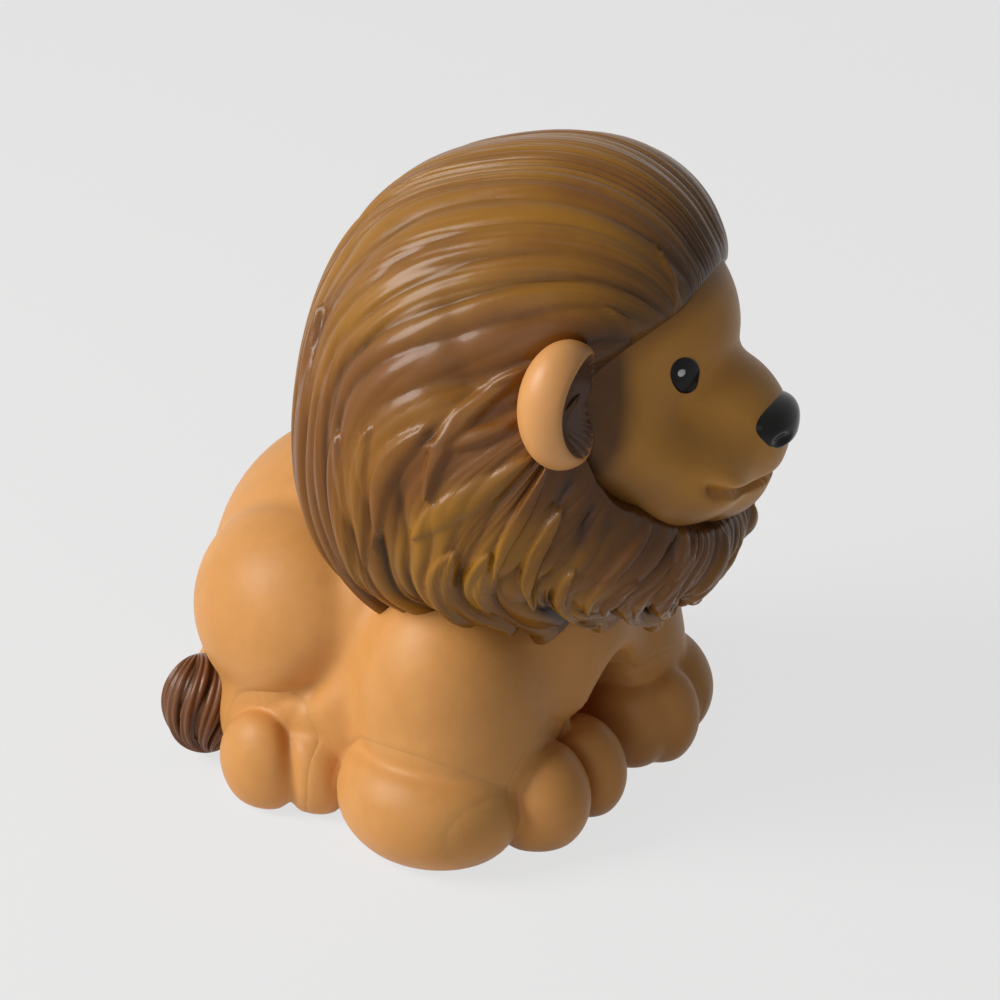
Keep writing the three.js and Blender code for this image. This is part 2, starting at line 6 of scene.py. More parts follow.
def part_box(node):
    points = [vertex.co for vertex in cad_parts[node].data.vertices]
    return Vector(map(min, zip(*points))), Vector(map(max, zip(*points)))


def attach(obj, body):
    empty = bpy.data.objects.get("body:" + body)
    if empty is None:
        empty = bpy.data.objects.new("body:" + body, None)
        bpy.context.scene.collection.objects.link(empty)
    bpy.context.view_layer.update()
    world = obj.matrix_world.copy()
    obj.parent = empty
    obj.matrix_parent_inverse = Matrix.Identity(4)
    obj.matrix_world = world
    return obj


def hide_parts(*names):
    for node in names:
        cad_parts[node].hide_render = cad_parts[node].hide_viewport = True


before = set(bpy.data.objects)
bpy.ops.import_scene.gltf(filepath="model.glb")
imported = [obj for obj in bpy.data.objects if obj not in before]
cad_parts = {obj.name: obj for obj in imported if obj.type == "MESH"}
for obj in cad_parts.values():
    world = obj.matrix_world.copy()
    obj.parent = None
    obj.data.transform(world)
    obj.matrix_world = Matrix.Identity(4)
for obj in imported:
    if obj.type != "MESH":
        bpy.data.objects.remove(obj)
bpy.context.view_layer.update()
print("frame loaded")

# sizes are in millimetres round the middle of the body's plan, with the lion facing -Y, and become metres in the mesh
mm = 0.001
plugAhead = 3.0
plugLow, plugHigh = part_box("base_plug")
bodyMiddle = np.array([(plugLow.x + plugHigh.x) / 2 / mm, (plugLow.y + plugHigh.y) / 2 / mm + plugAhead, 0.0])
headPlace = {"forward": 6.0, "turn": np.radians(20.5)}
fullTurn = 2 * np.pi
search = {"steps": 90, "share": 0.75, "least": 0.04, "halvings": 9}


# distance to an egg: a (a - 1) over the length of the scaled slope, where a is the scaled distance from its middle
def egg(points, middle, half):
    away = (points - np.array(middle)) / np.array(half)
    a = np.sqrt((away ** 2).sum(-1))
    return a * (a - 1) / (np.sqrt(((away / np.array(half)) ** 2).sum(-1)) + 1e-9)


# the smaller of two distances, lowered by near squared over four blends where they lie within a blend of each other
def joined(a, b, blend):
    near = np.maximum(blend - np.abs(a - b), 0)
    return np.minimum(a, b) - near * near / (4 * blend)


# what of a lies outside b, rounded in the same way
def carved(a, b, blend):
    return -joined(-a, b, blend)


# 0 below low, 1 above high, and a smooth cubic between
def ramp(x, low, high):
    share = np.clip((x - low) / (high - low), 0, 1)
    return share * share * (3 - 2 * share)


# the value that lies a share of the way from the first end to the second
def partWay(ends, share):
    return ends[0] + (ends[1] - ends[0]) * share


# a point of either side taken to the lion's right: x becomes minus its size
def mirrored(points):
    return np.abs(points[..., :1]) * [-1, 0, 0] + points * [0, 1, 1]


# how far each ray from heart runs to the form: it steps on by a share of the distance until the sign changes, then
# the last step is halved. Rays from outside find the last crossing, rays from inside the first.
def reach(form, heart, directions, far, fromOutside=False):
    rays = directions.reshape(-1, 3)
    hearts = np.broadcast_to(heart, directions.shape).reshape(-1, 3)
    sign = -1.0 if fromOutside else 1.0
    length = np.full(len(rays), float(far) if fromOutside else 0.0)
    step = np.zeros(len(rays))
    live = np.arange(len(rays))
    for count in range(search["steps"]):
        clear = -sign * form(hearts[live] + rays[live] * length[live, None])
        live, clear = live[clear > 0], clear[clear > 0]
        if not len(live):
            break
        step[live] = np.maximum(clear * search["share"], search["least"])
        length[live] += sign * step[live]
    before, after = length - sign * step, length
    for count in range(search["halvings"]):
        middle = (before + after) / 2
        inside = -sign * form(hearts + rays * middle[:, None]) > 0
        before, after = np.where(inside, middle, before), np.where(inside, after, middle)
    return ((before + after) / 2).reshape(directions.shape[:-1])


# directions over a whole ball: rows go from the pole along axis to the opposite one, columns go round
def ballOfDirections(rows, columns, axis=(0, 0, 1)):
    tilt = np.linspace(0, np.pi, rows)[:, None]
    spin = np.linspace(0, fullTurn, columns, endpoint=False)[None, :]
    up = np.array(axis, float) / np.linalg.norm(axis)
    side = np.cross(up, [0, 1, 0.3] if abs(up[1]) < 0.9 else [1, 0, 0])
    side /= np.linalg.norm(side)
    third = np.cross(up, side)
    ball = (np.sin(tilt) * np.cos(spin))[..., None] * side + (np.sin(tilt) * np.sin(spin))[..., None] * third
    ball = ball + (np.cos(tilt) + 0 * spin)[..., None] * up
    return ball / np.linalg.norm(ball, axis=-1, keepdims=True)


# from the head's own frame to the body's: turned about the neck's upright axis, then moved forward
def fromHead(points):
    c, s = np.cos(headPlace["turn"]), np.sin(headPlace["turn"])
    x, y, z = points[..., 0], points[..., 1], points[..., 2]
    return np.stack([c * x - s * y, s * x + c * y - headPlace["forward"], z], -1)


# and back, in the other order
def toHead(points):
    c, s = np.cos(headPlace["turn"]), np.sin(headPlace["turn"])
    x, y, z = points[..., 0], points[..., 1] + headPlace["forward"], points[..., 2]
    return np.stack([c * x + s * y, -s * x + c * y, z], -1)


# a closed skin from a grid of points: its first and last rows close to one point each, and its columns join up
def skinArrays(grid):
    rows, columns = grid.shape[:2]
    inner = grid[1:-1].reshape(-1, 3)
    points = np.concatenate([grid[:1].mean(1), inner, grid[-1:].mean(1)])
    index = 1 + np.arange((rows - 2) * columns).reshape(rows - 2, columns)
    following = np.roll(index, -1, axis=1)
    quads = np.stack([index[:-1], index[1:], following[1:], following[:-1]], -1).reshape(-1, 4)
    last = len(points) - 1
    firstFan = np.stack([np.zeros(columns, int), index[0], following[0]], -1)
    lastFan = np.stack([np.full(columns, last), following[-1], index[-1]], -1)
    return points, quads, np.concatenate([firstFan, lastFan])


# a sixth of the sum of a . (b x c) over the triangles, above 0 where the faces point outwards
def signedVolume(points, quads, fans):
    triangles = np.concatenate([quads[:, [0, 1, 2]], quads[:, [0, 2, 3]], fans])
    a, b, c = points[triangles[:, 0]], points[triangles[:, 1]], points[triangles[:, 2]]
    return (a * np.cross(b, c)).sum() / 6


# one object from one or more closed skins, each turned so that its faces point outwards; values become attributes
def makePiece(name, grids, material, node, values=None):
    allPoints, allCorners, allTotals, offset = [], [], [], 0
    for grid in grids:
        points, quads, fans = skinArrays(grid)
        if signedVolume(points, quads, fans) < 0:
            quads, fans = quads[:, ::-1], fans[:, ::-1]
        allPoints.append(points)
        allCorners += [(quads + offset).ravel(), (fans + offset).ravel()]
        allTotals += [np.full(len(quads), 4), np.full(len(fans), 3)]
        offset += len(points)
    points = (np.concatenate(allPoints) + bodyMiddle) * mm
    corners, totals = np.concatenate(allCorners), np.concatenate(allTotals)
    mesh = bpy.data.meshes.new(name)
    mesh.vertices.add(len(points))
    mesh.vertices.foreach_set("co", points.astype(np.float32).ravel())
    mesh.loops.add(len(corners))
    mesh.loops.foreach_set("vertex_index", corners.astype(np.int32))
    mesh.polygons.add(len(totals))
    mesh.polygons.foreach_set("loop_start", np.concatenate([[0], np.cumsum(totals)[:-1]]).astype(np.int32))
    mesh.polygons.foreach_set("use_smooth", np.ones(len(totals), bool))
    mesh.update(calc_edges=True)
    for word, perGrid in (values or {}).items():
        flat = [np.concatenate([v[:1].mean(1), v[1:-1].ravel(), v[-1:].mean(1)]) for v in perGrid]
        layer = mesh.attributes.new(word, "FLOAT", "POINT")
        layer.data.foreach_set("value", np.concatenate(flat).astype(np.float32))
    mesh.materials.append(material)
    piece = bpy.data.objects.new(name, mesh)
    bpy.context.scene.collection.objects.link(piece)
    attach(piece, "root")
    if node:
        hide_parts(node)
    print(name, "has", int((totals - 2).sum()), "triangles")


# a socket on which Python's operators add Math nodes
class Amount:
    def __init__(self, finish, socket):
        self.finish, self.socket = finish, socket

    def math(self, operation, *others, clamp=False):
        inputs = dict(enumerate([self, *others]))
        return self.finish.node("ShaderNodeMath", {"operation": operation, "use_clamp": clamp}, inputs)

    def __add__(self, other): return self.math("ADD", other)
    def __radd__(self, other): return self.math("ADD", other)
    def __sub__(self, other): return self.math("SUBTRACT", other)
    def __rsub__(self, other): return self.finish.node("ShaderNodeMath", {"operation": "SUBTRACT"}, {0: other, 1: self})
    def __mul__(self, other): return self.math("MULTIPLY", other)
    def __rmul__(self, other): return self.math("MULTIPLY", other)
    def clipped(self): return self.math("ADD", 0.0, clamp=True)

    # 0 below low, 1 above high
    def between(self, low, high):
        return self.finish.node("ShaderNodeMapRange", {"interpolation_type": "SMOOTHSTEP"},
                                {0: self, 1: low, 2: high, 3: 0.0, 4: 1.0})


# the node tree of a material or a world: its own shader, and one method that adds any other node
class Finish:
    def __init__(self, owner, shader="Principled BSDF", **constants):
        owner.use_nodes = True
        self.owner = owner
        self.tree = owner.node_tree
        self.shader = self.tree.nodes[shader]
        for word, value in constants.items():
            self.set(word.replace("_", " "), value)

    def node(self, kind, settings, inputs, output=0):
        made = self.tree.nodes.new(kind)
        for word, value in settings.items():
            setattr(made, word, value)
        for key, value in inputs.items():
            self.join(value, made.inputs[key])
        return Amount(self, made.outputs[output])

    def join(self, value, socket):
        if isinstance(value, Amount):
            self.tree.links.new(value.socket, socket)
        elif isinstance(value, (tuple, list)) and len(value) == 3 and socket.type == "RGBA":
            socket.default_value = (*value, 1.0)
        else:
            socket.default_value = value

    def noise(self, scale, detail, roughness=0.5):
        place = self.node("ShaderNodeTexCoord", {}, {}, "Object")
        return self.node("ShaderNodeTexNoise", {"noise_dimensions": "3D"},
                         {"Vector": place, "Scale": scale, "Detail": detail, "Roughness": roughness})

    def mix(self, factor, first, second):
        return self.node("ShaderNodeMix", {"data_type": "RGBA"}, {0: factor, 6: first, 7: second}, 2)

    def attribute(self, word):
        return self.node("ShaderNodeAttribute", {"attribute_name": word}, {}, "Fac")

    def bump(self, height, distance, strength):
        return self.node("ShaderNodeBump", {}, {"Height": height, "Distance": distance, "Strength": strength}, "Normal")

    def set(self, word, value):
        self.join(value, self.shader.inputs[word])


# light goes a little way into soft vinyl and comes out redder
softDepth = {"Subsurface_Weight": 0.1, "Subsurface_Scale": 0.0012, "Subsurface_Radius": (1.0, 0.4, 0.15)}


# satin soft vinyl: two noises mottle the colour from deep to lit, a fine one grains the surface
def vinylFinish(name, lit, deep, rough, sprayAndShade=None):
    finish = Finish(bpy.data.materials.new(name), Specular_IOR_Level=0.26, **softDepth)
    cloud = finish.noise(scale=95.0, detail=4.0, roughness=0.55)
    fleck = finish.noise(scale=420.0, detail=3.0)
    grain = finish.noise(scale=1500.0, detail=2.0, roughness=0.6)
    tone = finish.mix((cloud * 0.75 + fleck * 0.25).between(0.3, 0.72), deep, lit)
    if sprayAndShade:
        # brown overspray drifts off the mane onto the vinyl beside it, and painted shade darkens it against the ear and
        # at the border of the mane's opening
        tone = finish.mix((finish.attribute("sprayAndShade") + (fleck - 0.5) * 0.2).clipped(), tone, sprayAndShade)
    finish.set("Base Color", tone)
    finish.set("Roughness", rough + (fleck - 0.5) * 0.16)
    finish.set("Normal", finish.bump(grain + cloud * 0.8, distance=0.00007, strength=0.35))
    return finish.owner


# sprayed gloss brown on vinyl: painted shade darkens it in the grooves, golden where it is thin, with fine strands in
# the paint
def manePaint(name, recessShade, brown, golden, rough):
    finish = Finish(bpy.data.materials.new(name), Specular_IOR_Level=0.22, Coat_Roughness=0.12)
    crest, wear, strand = (finish.attribute(word) for word in ("crest", "wear", "strand"))
    cloud = finish.noise(scale=80.0, detail=4.0, roughness=0.6)
    fine = finish.noise(scale=900.0, detail=3.0, roughness=0.6)
    # painted shade: the dark colour where the relief is low, the brown on its crests
    base = finish.mix((crest * 0.8 + fine * 0.18 + strand * 0.12).between(0.12, 0.9), recessShade, brown)
    thin = (wear * 0.75 + cloud * 0.8 - 0.5).between(0.05, 0.65)
    finish.set("Base Color", finish.mix(thin * crest, base, golden))
    finish.set("Roughness", rough + (cloud - 0.5) * 0.22 + (strand - 0.5) * 0.12)
    finish.set("Coat Weight", (crest * 0.2).clipped())
    finish.set("Normal", finish.bump(fine * 0.5 + strand, distance=0.00014, strength=0.5))
    return finish.owner


# gloss print or paint, faintly dulled in clouds
def glossFinish(name, colour, rough):
    finish = Finish(bpy.data.materials.new(name), Specular_IOR_Level=0.16)
    cloud = finish.noise(scale=600.0, detail=3.0)
    finish.set("Base Color", finish.mix(cloud, colour, [c * 1.6 for c in colour]))
    finish.set("Roughness", rough + (cloud - 0.5) * 0.12)
    finish.set("Normal", finish.bump(cloud, distance=0.00003, strength=0.2))
    return finish.owner


# the body's vinyl with dark brown in the dish: brown paint brushed in, darkened further with painted shade for the
# hollow
def earFinish(name, lit, deep, recessShade, brown, rough):
    finish = Finish(bpy.data.materials.new(name), Specular_IOR_Level=0.4, **softDepth)
    dish = finish.attribute("dish")
    cloud = finish.noise(scale=95.0, detail=4.0, roughness=0.55)
    brush = finish.noise(scale=300.0, detail=4.0, roughness=0.6)
    grain = finish.noise(scale=1500.0, detail=2.0)
    # the dish's mask, where its brown paint and its painted shade lie
    painted = (dish + (brush - 0.5) * 0.25).between(0.3, 0.6)
    finish.set("Base Color", finish.mix(painted, finish.mix(cloud, deep, lit), finish.mix(brush, recessShade, brown)))
    finish.set("Roughness", rough + (brush - 0.5) * 0.15)
    finish.set("Normal", finish.bump(grain, distance=0.00006, strength=0.3))
    return finish.owner


bodyVinyl = vinylFinish("satinTanVinyl", lit=(0.66, 0.315, 0.095), deep=(0.57, 0.26, 0.068), rough=0.44)
# the face's vinyl is a shaded copy of the body's, yellower and a little darker: painted shade
shadedFaceVinyl = vinylFinish("shadedFaceTanVinyl", lit=(0.60, 0.285, 0.058), deep=(0.52, 0.235, 0.042), rough=0.42,
                        sprayAndShade=(0.10, 0.04, 0.012))
plugVinyl = vinylFinish("plugVinyl", lit=(0.64, 0.31, 0.105), deep=(0.55, 0.25, 0.078), rough=0.5)
# the ear's vinyl is a lit copy of the body's, a little lighter: painted light
litEarVinyl = earFinish("litEarVinyl", lit=(0.72, 0.36, 0.125), deep=(0.60, 0.27, 0.08), recessShade=(0.045, 0.015, 0.006),
                     brown=(0.13, 0.05, 0.018), rough=0.42)
# the darkest colours of the ear, mane and tuft are painted shade for their dish and grooves
maneBrown = manePaint("maneBrownPaint", recessShade=(0.020, 0.006, 0.0012), brown=(0.180, 0.064, 0.006),
                      golden=(0.31, 0.135, 0.006), rough=0.32)
tuftBrown = manePaint("tuftBrownPaint", recessShade=(0.035, 0.012, 0.004), brown=(0.17, 0.065, 0.022),
                      golden=(0.22, 0.09, 0.03), rough=0.24)
glossBlack = glossFinish("glossBlackPaint", (0.004, 0.004, 0.003), rough=0.16)
eyeBlack = glossFinish("eyeBlackPrint", (0.003, 0.003, 0.004), rough=0.22)
dotWhite = glossFinish("paleDotPrint", (0.5, 0.5, 0.5), rough=0.4)
print("materials made")

# the body: eggs as (middle, half sizes, blend, where), side ones given for the lion's right
body = {
    "heart": (0, -3, 13), "pawStagger": 2.0, "soleEdge": 1.2,
    "lobes": [
        ((0, 6.4, 14.8), (15.8, 15.8, 16.8), 1.0, "middle"),       # rump
        ((0, -10.2, 17), (13.8, 14, 17), 8.0, "middle"),           # chest
        ((0, -1.5, 3.4), (15.2, 18, 10.2), 3.0, "middle"),         # belly
        ((-9.5, -2.5, 11.5), (8, 9, 13), 4.0, "both"),             # flank
        ((-13, -4, 7.5), (6, 7, 8.4), 3.0, "both"),                # knee
        ((-11.4, 4.4, 16.2), (9.9, 11.4, 10.6), 1.2, "haunch"),
        ((-15.2, 2, 6), (5.9, 8.8, 7.4), 1.6, "both"),             # shank
        ((-20.2, 1.2, 4.6), (3.9, 4.8, 5.4), 1.2, "hind toe"),
        ((-17.8, -3, 4.4), (3.6, 4.6, 5.2), 1.0, "hind toe"),
        ((-10.6, -14.6, 13.6), (9.2, 9.2, 12), 2.0, "fore"),       # shoulder
        ((-11.4, -15.8, 7), (8.8, 8.8, 9.3), 2.5, "fore"),         # arm
    ],
    "toes": [
        ((-14.8, -15.8, 5.2), (8.5, 9.6, 6.6), 1.6),               # right fore toes, outer to inner
        ((-8.2, -21.4, 5), (5.2, 7, 6.2), 1.0),
        ((-1.2, -22.3, 4.8), (3.7, 4.9, 5.3), 0.8),
        ((15.2, -15, 5), (6.8, 8.6, 6.6), 1.6),                    # left fore toes
        ((11.3, -19.4, 5), (4.8, 6.2, 6.2), 1.2),
        ((8.9, -19.1, 4.8), (3.8, 5.6, 5.6), 1.2),
    ],
    "legGap": ((2.8, -25, 7.2), (4.5, 13.4, 8.4), 2.0),
    # folds: blend, depth and width; the haunch's go from low down to high up
    "haunchFold": {"rise": (10, 20), "blend": (0.8, 3.2), "depth": (1.5, 0.4), "wide": 1.2},
    "toeFold": (0.5, 0.8),
    # places with a skin of their own, because the body's heart doesn't see them: heart, half sizes
    "patches": [
        ((-14.4, -15.8, 5.2), (11.0, 9.9, 9.2)), ((-8.2, -20.6, 5), (7.4, 9.4, 9)), ((-1.4, -21.6, 5), (5.4, 7.4, 8)),
        ((14.6, -14.8, 5), (10.2, 9.6, 9.2)), ((10.4, -18.8, 5), (7.6, 8.4, 9)),
        ((-18.4, 0.6, 5), (7.2, 7.0, 8)), ((18.4, 0.6, 5), (7.2, 7.0, 8)),
    ],
    # a patch ends this far out, in its half sizes, and the main skin counts as this far from its own middle
    "patchEnd": 1.08, "mainAway": 0.9, "sinking": {"depth": 0.4, "from": -0.03, "to": 0.12},
}


# two distances joined, with a fold pressed in along their meeting line: depth times a bell of their difference
def folded(a, b, blend, fold, wide):
    return joined(a, b, blend) + fold * np.exp(-((a - b) / wide) ** 2)


# the body: eggs joined smoothly, the hollow between the forelegs carved out, the ground cut flat
def bodyForm(points):
    side = mirrored(points)
    places = {"middle": points, "both": side, "haunch": side, "hind toe": side,
              "fore": side - np.where(points[..., :1] > 0, body["pawStagger"], 0.0) * [0, 1, 0]}
    fold = body["haunchFold"]
    high = ramp(points[..., 2], *fold["rise"])
    whole = None
    for middle, half, blend, where in body["lobes"]:
        clear = egg(places[where], middle, half)
        if whole is None:
            whole = clear
        elif where == "haunch":
            whole = folded(whole, clear, partWay(fold["blend"], high), partWay(fold["depth"], high), fold["wide"])
        elif where == "hind toe":
            whole = folded(whole, clear, blend, *body["toeFold"])
        else:
            whole = joined(whole, clear, blend)
    middle, half, blend = body["legGap"]
    whole = carved(whole, egg(points, middle, half), blend)
    for middle, half, blend in body["toes"]:
        whole = folded(whole, egg(points, middle, half), blend, *body["toeFold"])
    return carved(whole, points[..., 2], body["soleEdge"])


# how far a point lies from a patch's middle, in its half sizes
def patchAway(points, patch):
    return np.sqrt((((points - np.array(patch[0])) / np.array(patch[1])) ** 2).sum(-1))


# a skin sinks where another one is nearer, so that two skins cross at a shallow angle and neither ends in the open
def sunkBeside(own, others):
    sinking = body["sinking"]
    return sinking["depth"] * ramp(own - others, sinking["from"], sinking["to"])


# the skin seen from the body's heart
def mainSkin(rows, columns):
    def form(points):
        nearest = np.min([patchAway(points, patch) for patch in body["patches"]], axis=0)
        return bodyForm(points) + sunkBeside(body["mainAway"], nearest)

    heart = np.array(body["heart"], float)
    directions = ballOfDirections(rows, columns)
    return heart + directions * reach(form, heart, directions, 60)[..., None]


# a skin seen from a patch's middle, closed off where the patch ends
def patchSkin(number, rows, columns):
    patch = body["patches"][number]

    def form(points):
        own = patchAway(points, patch)
        others = [patchAway(points, other) for i, other in enumerate(body["patches"]) if i != number]
        clear = bodyForm(points) + sunkBeside(own, np.minimum(np.min(others, axis=0), body["mainAway"]))
        return np.maximum(clear, (own - body["patchEnd"]) * min(patch[1]))

    heart = np.array(patch[0], float)
    directions = ballOfDirections(rows, columns, (0.2, 1, 0.5))
    return heart + directions * reach(form, heart, directions, 30)[..., None]


# the tail: a round profile carried from inside the rump round the right haunch, along an arc that drops and closes in
tail = {"radius": 2.7, "angles": (0.45, -1.1), "closing": 0.32, "drop": 3.6, "rise": 5.4, "reach": (16.56, 14.25),
        "back": 6.0, "blunt": 12}


def tailGrid(rows, columns):
    along = np.linspace(0, 1, rows)[:, None]
    rooted = (1 - along) ** 3
    angle = partWay(tail["angles"], along)
    out = 1 - tail["closing"] * rooted
    path = np.concatenate([tail["reach"][0] * out * np.sin(angle),
                           tail["back"] + tail["reach"][1] * out * np.cos(angle),
                           tail["rise"] + tail["drop"] * rooted], 1)
    ahead = np.gradient(path, axis=0)
    ahead /= np.linalg.norm(ahead, axis=-1, keepdims=True)
    side = np.cross(ahead, [0, 0, 1.0])
    side /= np.linalg.norm(side, axis=-1, keepdims=True)
    up = np.cross(side, ahead)
    spin = np.linspace(0, fullTurn, columns, endpoint=False)[None, :, None]
    wide = tail["radius"] * np.sqrt(np.clip(1 - (2 * along - 1) ** tail["blunt"], 0, 1))[:, :, None]
    return path[:, None] + wide * (np.cos(spin) * side[:, None] + np.sin(spin) * up[:, None])


patchSkins = [patchSkin(number, rows=64, columns=110) for number in range(len(body["patches"]))]
bodySkins = [mainSkin(rows=150, columns=290), *patchSkins, tailGrid(rows=40, columns=36)]
makePiece("bodyVinylSkin", bodySkins, bodyVinyl, "body_shell")

# the head in its own frame, turned about the neck's upright axis; heights are above the ground
face = {
    "heart": (0, -8.25, 45.5),
    "lobes": [
        ((0, -9.8, 48), (15.5, 14.8, 14.4), 1.0, "middle"),        # skull
        ((0, -18.4, 48.6), (8.2, 8.0, 7.8), 4.0, "middle"),        # brow
        ((-8.2, -15.6, 40.6), (7.0, 8.0, 7.0), 4.0, "both"),       # cheek
        ((0, -23.0, 39.4), (7.8, 9.0, 7.9), 1.4, "muzzle"),
        ((-6.0, -22.2, 37.6), (6.8, 8.0, 5.3), 1.8, "both"),       # pad
        ((0, -23.4, 34.3), (6.6, 6.6, 4.0), 1.2, "middle"),        # chin
    ],
    # the crease from the bridge of the nose down round the cheek: it deepens from side[0] out to side[1], and downwards
    "crease": {"depth": 0.4, "side": (-1.5, -4.0), "fall": (44.5, 42.0), "wide": 1.1},
    "mouth": {"halfWidth": 10.4, "rise": 35.6, "smile": 2.5, "bend": 2.4, "depth": 1.0, "soft": 0.42,
              "ends": (0.82, 1.04), "front": (13, 18)},
    "dimple": {"depth": 0.7, "across": 0.92, "wide": 0.10, "high": 0.9},
    # brown overspray and painted shade: round the ear (middle, half sizes, from, to) and along the border of the mane's
    # opening
    "besideEar": ((-15.0, -17.5, 46.5), (5.5, 5.5, 7.0), 0.5, 1.2),
    "border": {"half": (15.3, 11.5), "rise": 43, "scale": 12.0, "wide": 2.6},
    "sprayAndShade": {"ear": 0.95, "border": 0.6, "most": 0.92},
}


# the head without its mouth: eggs joined smoothly, with a crease folded in round the muzzle
def headForm(points):
    side = mirrored(points)
    crease = face["crease"]
    deep = crease["depth"] * ramp(side[..., 0], *crease["side"]) * ramp(points[..., 2], *crease["fall"])
    whole = None
    for middle, half, blend, where in face["lobes"]:
        clear = egg(side if where == "both" else points, middle, half)
        if where == "muzzle":
            whole = folded(whole, clear, blend, deep, crease["wide"])
        else:
            whole = clear if whole is None else joined(whole, clear, blend)
    return whole


# the face: the head with a smiling bow pressed in, a bell across its line, and a round dimple at each corner
def faceForm(points):
    mouth, dimple = face["mouth"], face["dimple"]
    across = np.abs(points[..., 0]) / mouth["halfWidth"]
    overBow = points[..., 2] - (mouth["rise"] + mouth["smile"] * across ** mouth["bend"])
    line = mouth["depth"] * np.exp(-(overBow / mouth["soft"]) ** 2) * (1 - ramp(across, *mouth["ends"]))
    corner = dimple["depth"] * np.exp(-((across - dimple["across"]) / dimple["wide"]) ** 2
                                      - (overBow / dimple["high"]) ** 2)
    return headForm(points) + (line + corner) * ramp(-points[..., 1], *mouth["front"])


# how brown the overspray and the painted shade are: strongest against the ear and at the border of the mane's opening
def sprayAndShadeOn(points):
    middle, half, near, far = face["besideEar"]
    beside = np.sqrt((((mirrored(points) - middle) / half) ** 2).sum(-1))
    border, sprayAndShade = face["border"], face["sprayAndShade"]
    wide, high = border["half"]
    inOpening = 1 - np.sqrt((points[..., 0] / wide) ** 2 + ((points[..., 2] - border["rise"]) / high) ** 2)
    atBorder = 1 - ramp(border["scale"] * inOpening, 0.0, border["wide"])
    return np.clip(sprayAndShade["ear"] * (1 - ramp(beside, near, far)) + sprayAndShade["border"] * atBorder, 0, sprayAndShade["most"])


# the face's skin seen from its heart, with its poles at the front of the muzzle and the back of the neck
def faceGrid(rows, columns):
    heart = np.array(face["heart"], float)
    directions = ballOfDirections(rows, columns, (0, -1, -0.35))
    return heart + directions * reach(faceForm, heart, directions, 60)[..., None]


faceSkin = faceGrid(rows=240, columns=320)
makePiece("faceVinylSkin", [fromHead(faceSkin)], shadedFaceVinyl, "head_shell", {"sprayAndShade": [sprayAndShadeOn(faceSkin)]})

# the mane: a skin combed from the hairline over the crown or the cheek and down to a scalloped rim
mane = {
    "heart": (0, -8.6, 38.7),
    "lobes": [
        ((0, -7.5, 45.4), (19.8, 20.6, 18.9), 1.0),
        ((0, -4, 33.2), (22.6, 18.8, 17.6), 10.0),
        ((0, -16.4, 30), (16.2, 12.0, 11.5), 6.0),
        ((0, -13.2, 53.3), (12.5, 10.4, 10.5), 6.0),
    ],
    # the face's opening: an oval lower over the brow than under the chin
    "opening": {"width": 30.6, "high": (10.7, 12.2), "rise": 43.0, "back": 12.0, "sunk": 0.5, "steep": (1.0, 3.8),
                "round": 2.6},
    # where the hairline is read: on the head's section through the cheeks, further forward under the chin
    "hairline": {"section": 12.5, "chin": 9.5, "chinWide": 0.7, "under": 0.3, "forward": 10.5},
    "rim": 20.2, "scallop": 2.4, "step": 1.4, "roll": 1.3, "locks": 20,
    # how the comb lines run: the shift of their starts and ends, and the two pulls between, each sideways, backward
    # and upward as powers of the height round the opening
    "comb": {"shift": (-0.157, 0.078, 0.269),
             "first": ((0.822, -0.799), (-0.495, 0.182, 0.677), (-0.439, 0.365, 0.357)),
             "second": ((1.524, -0.811), (-0.614, 1.946, -0.057), (-0.644, 0.754, 1.387))},
    # relief in millimetres: plain depth, and what is added low down, in patches or towards the rim
    "lock": {"depth": 0.30, "low": 0.30, "rim": 1.2, "sharp": 0.6},
    "strand": {"count": 3, "depth": 0.10, "patchy": 0.34, "low": 0.30, "sharp": 0.85},
    "hair": {"count": 7, "depth": 0.03, "patchy": 0.15, "rim": 0.5, "sharp": 0.9},
    "lowDown": (0.35, 0.95), "nearRim": (1.5, 11.0), "rimEdge": 9.0, "fade": (0.2, 4.5), "highest": 0.55,
    "scale": 0.9, "sink": 0.25, "hidden": 0.55,
    # how the relief turns into painted shade in the grooves, and how much painted shade darkens it within some
    # millimetres of the hairline
    "crest": {"level": 1.02, "depth": 0.95, "laid": 0.25, "laidLeast": 1.3, "laidMost": 0.9},
    "shade": {"all": 0.55, "brow": 0.2, "within": (1.5, 12.0)},
}


# the mane's outside without the opening: eggs joined smoothly
def hoodForm(points):
    whole = None
    for middle, half, blend in mane["lobes"]:
        clear = egg(points, middle, half)
        whole = clear if whole is None else joined(whole, clear, blend)
    return whole


# how high the mane may stand above the head, and how fast that grows: nothing in the opening for the face, more outside
def liftAt(points):
    opening = mane["opening"]
    x, y, z = points[..., 0], points[..., 1], points[..., 2]
    high = np.where(z > opening["rise"], *opening["high"])
    oval = (np.sqrt((x / (opening["width"] / 2)) ** 2 + ((z - opening["rise"]) / high) ** 2) - 1) * high
    outside = np.maximum(oval, y + opening["back"])
    low = np.clip(0.5 - (z - opening["rise"]) / high, 0, 1)
    steep = partWay(opening["steep"], low)
    return np.maximum(outside + opening["sunk"], 0) * steep - opening["sunk"], steep


# the hood without what stands higher above the head than it may
def maneForm(points):
    lift, steep = liftAt(points)
    return carved(hoodForm(points), (lift - headForm(points)) / (1 + steep), mane["opening"]["round"])


# a repeating bump, 0 at whole numbers and 1 half way
def lockBump(phase, sharp):
    return np.abs(np.sin(np.pi * phase)) ** sharp


# a table of directions read at any angle round the mane
def readRound(table, angle):
    stops = np.linspace(0, fullTurn, len(table))
    return np.stack([np.interp(np.mod(angle, fullTurn), stops, table[:, k]) for k in range(3)], -1)


